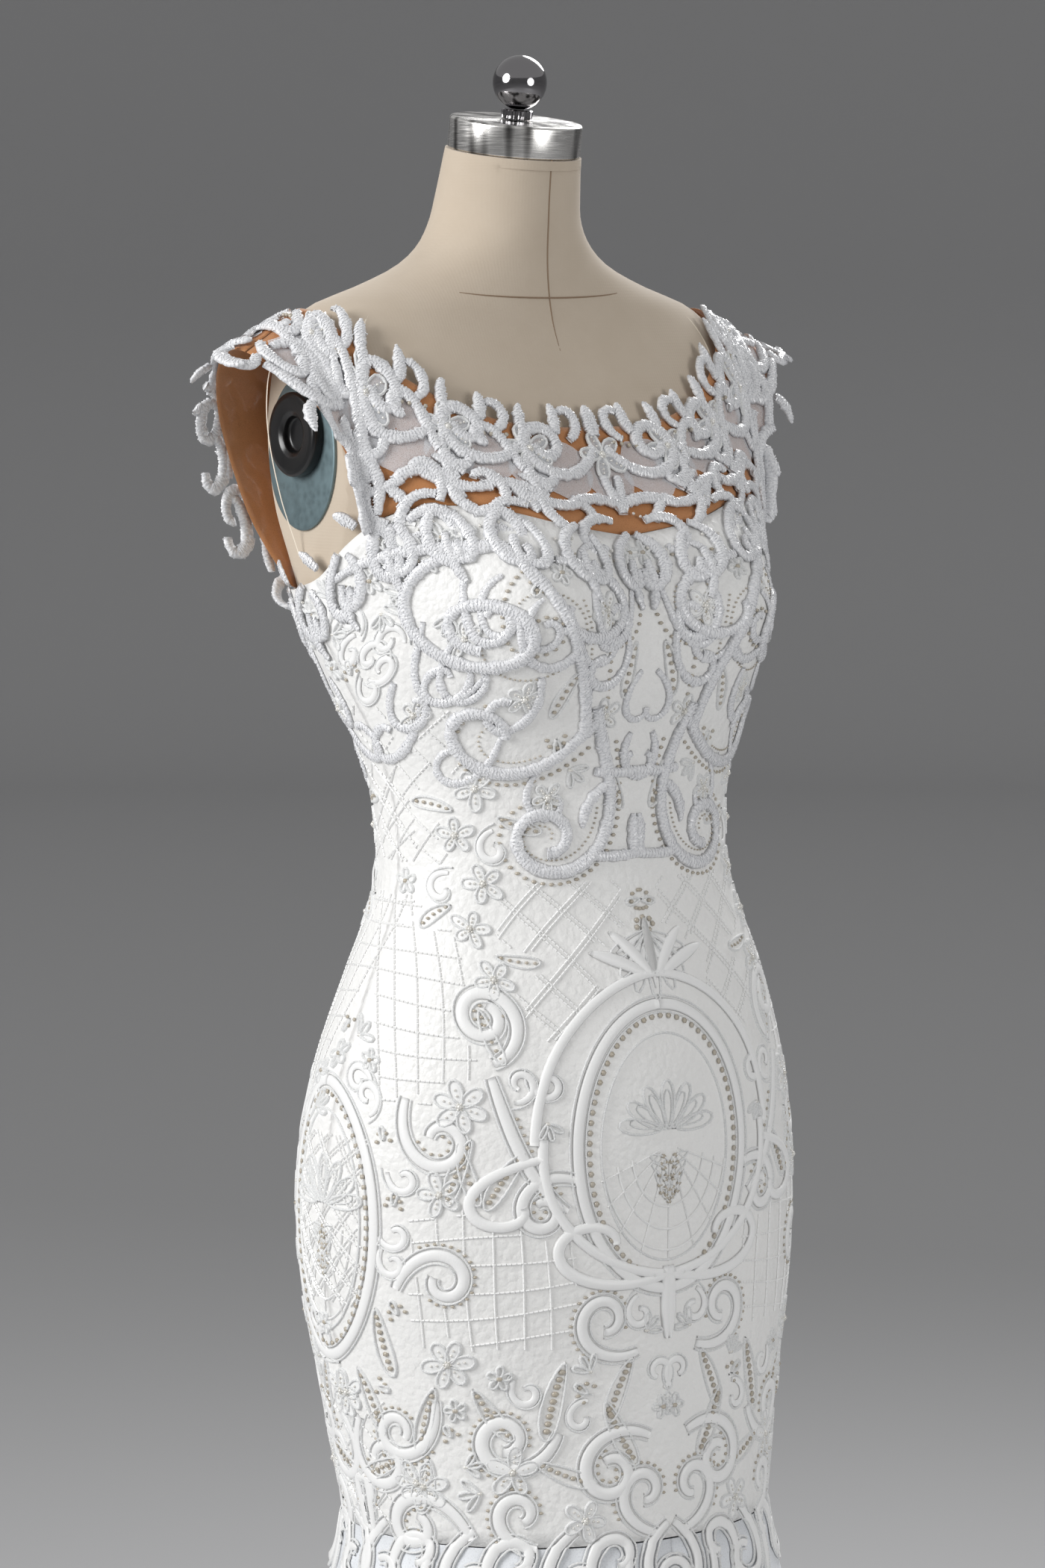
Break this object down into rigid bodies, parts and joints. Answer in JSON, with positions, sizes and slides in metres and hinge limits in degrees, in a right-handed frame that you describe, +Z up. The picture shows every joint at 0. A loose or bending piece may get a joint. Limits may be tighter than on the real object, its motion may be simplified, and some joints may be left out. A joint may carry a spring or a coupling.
{
  "type": "wedding dress on a limbless dress form with stand",
  "caption": "Fitted floor-length lace wedding dress with a sheer lace-edged yoke, worn by a limbless dress form with a steel neck cap on a round stand.",
  "frame": {"origin": "under the stand's pole, on the floor", "axes": "the figure faces -Y, its left side is +X, +Z is up"},
  "size_m": [0.9696, 0.9762, 1.5771],
  "materials": {
    "satin": "ivory duchess satin with a soft sheen",
    "lace": "corded and beaded white lace",
    "net": "nude stretch net",
    "tulle": "layered white tulle",
    "linen": "beige linen cover",
    "brushed_steel": "turned and brushed",
    "polished_steel": "polished",
    "zinc": "dull zinc plate",
    "black_plastic": "moulded"
  },
  "bodies": {
    "root": {"front_panel": "satin", "back_panel_left": "satin", "back_panel_right": "satin", "flounce_front_left": "tulle", "flounce_front_right": "tulle", "flounce_back_left": "tulle", "flounce_back_right": "tulle", "yoke_front": "net", "yoke_back_left": "net", "yoke_back_right": "net", "lace_front": "lace", "lace_back_left": "lace", "lace_back_right": "lace", "applique_bodice": "lace", "applique_hip": "lace", "button_1": "satin", "button_2": "satin", "button_3": "satin", "button_4": "satin", "button_5": "satin", "button_6": "satin", "button_7": "satin", "button_8": "satin", "button_9": "satin", "form_torso": "linen", "neck_cap": "brushed_steel", "finial_collar": "polished_steel", "finial_ball": "polished_steel", "arm_plate_left": "zinc", "arm_plate_right": "zinc", "arm_socket_left": "black_plastic", "arm_socket_right": "black_plastic", "stand_flange": "brushed_steel", "stand_pole": "polished_steel", "stand_base": "brushed_steel"}
  },
  "joints": []
}
